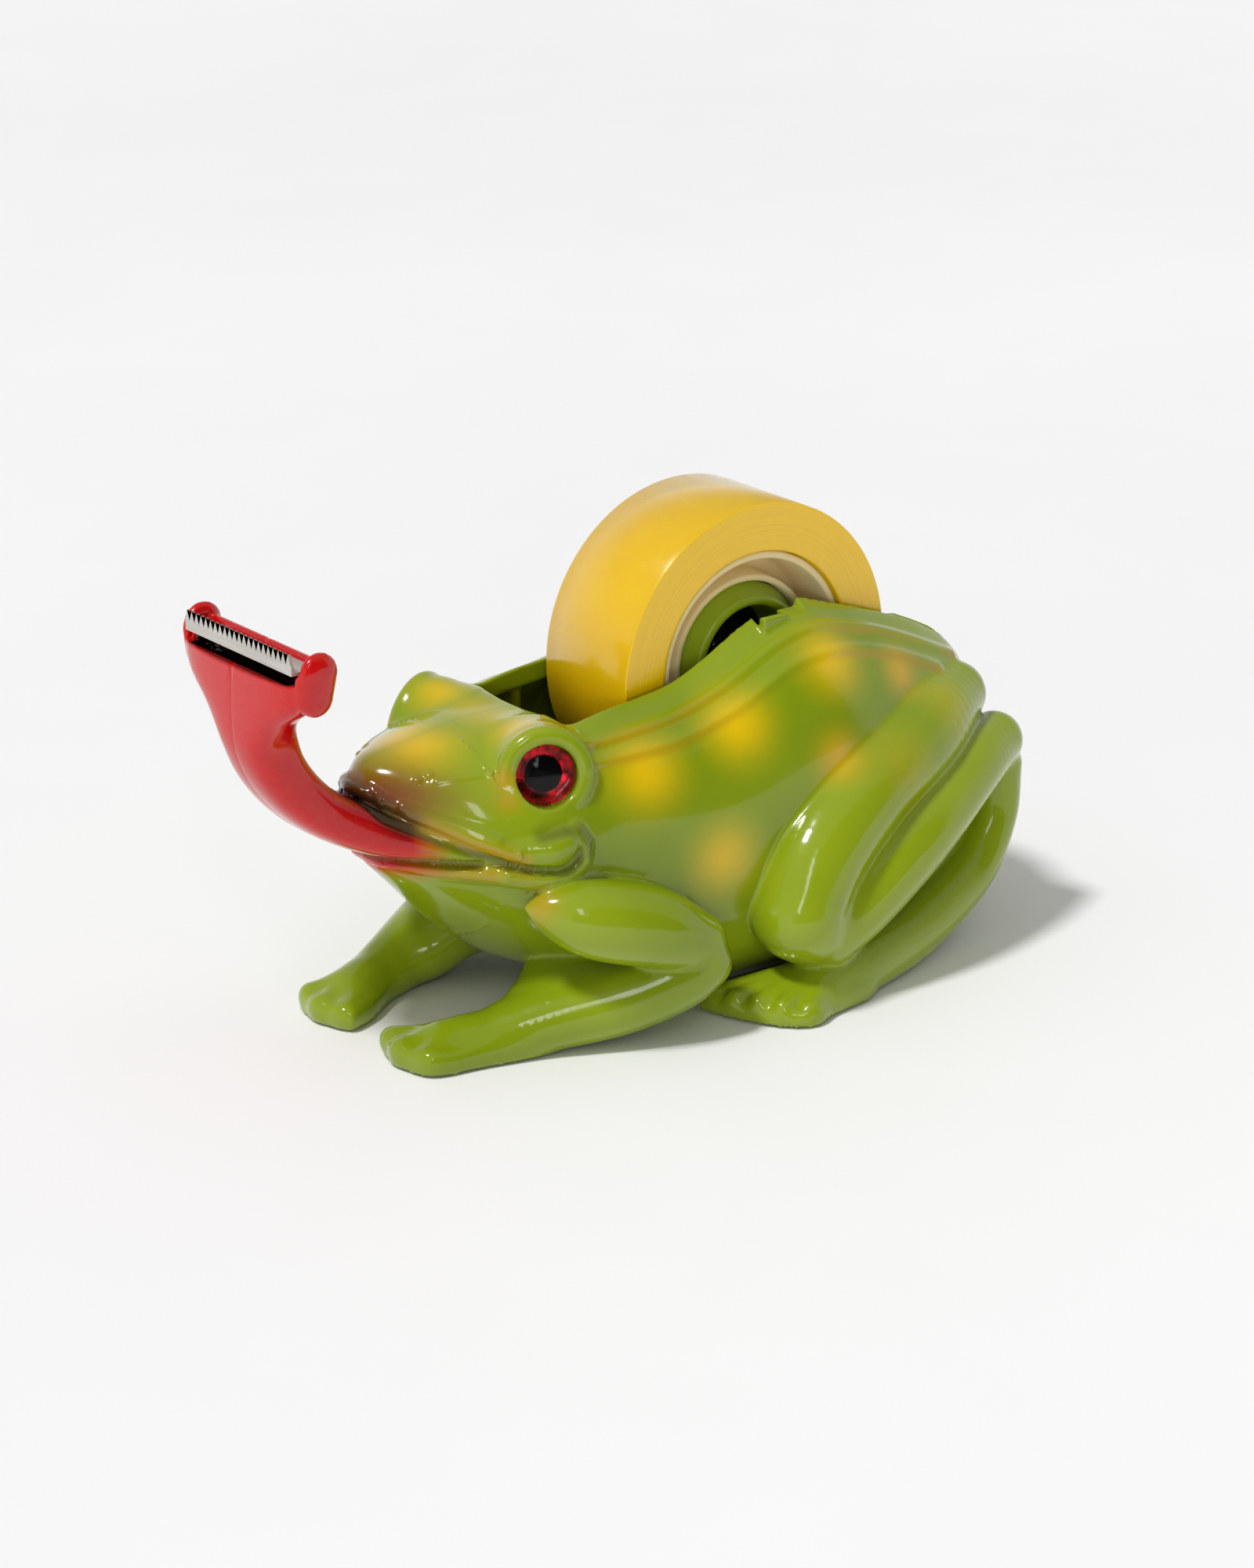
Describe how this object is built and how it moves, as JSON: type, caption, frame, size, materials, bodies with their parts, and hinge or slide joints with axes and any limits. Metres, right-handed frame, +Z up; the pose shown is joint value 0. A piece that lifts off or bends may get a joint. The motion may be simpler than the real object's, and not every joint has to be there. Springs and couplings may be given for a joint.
{
  "type": "tape dispenser",
  "caption": "Desk tape dispenser shaped as a crouching frog: the tape reel turns in a well in its back and a toothed cutter sits on its raised tongue.",
  "frame": {"origin": "middle of the object's footprint, at table height", "axes": "+Z up; -X towards the frog's nose and cutter; +Y towards the frog's right side; the reel turns about Y"},
  "size_m": [0.1275, 0.0694, 0.0703],
  "materials": {
    "glossy_green": "airbrushed glossy moulded plastic, green with yellow spots and a red tongue",
    "black_plastic": "fine moulded texture",
    "iron": "as cast",
    "steel": "stamped sheet and turned steel",
    "rubber": "die-cut rubber",
    "tape": "wound clear adhesive film, amber in the roll",
    "core_plastic": "translucent beige moulded plastic",
    "red_foil": "metallic red eye disc",
    "black_gloss": "gloss black",
    "clear_acrylic": "polished clear acrylic dome"
  },
  "bodies": {
    "body": {"body_shell_left": "glossy_green", "body_shell_right": "glossy_green", "belly_cover": "black_plastic", "ballast_weight": "iron", "belly_screw_1": "steel", "belly_screw_2": "steel", "belly_screw_3": "steel", "belly_screw_4": "steel", "foot_pad_front_left": "rubber", "foot_pad_front_right": "rubber", "foot_pad_rear_left": "rubber", "foot_pad_rear_right": "rubber", "cutter_blade": "steel", "eye_iris_left": "red_foil", "eye_iris_right": "red_foil", "eye_pupil_left": "black_gloss", "eye_pupil_right": "black_gloss", "eye_lens_left": "clear_acrylic", "eye_lens_right": "clear_acrylic"},
    "axle": {"hub_axle": "steel"},
    "reel": {"tape_hub": "glossy_green", "tape_core": "core_plastic", "tape_roll": "tape"}
  },
  "joints": [
    {"name": "reel_lift", "type": "slide", "parent": "body", "child": "axle", "axis": [0, 0, 1], "range_m": [0, 0.04]},
    {"name": "reel_spin", "type": "hinge", "parent": "axle", "child": "reel", "pos_m": [0.0202, 0, 0.0464], "axis": [0, 1, 0], "continuous": true}
  ]
}
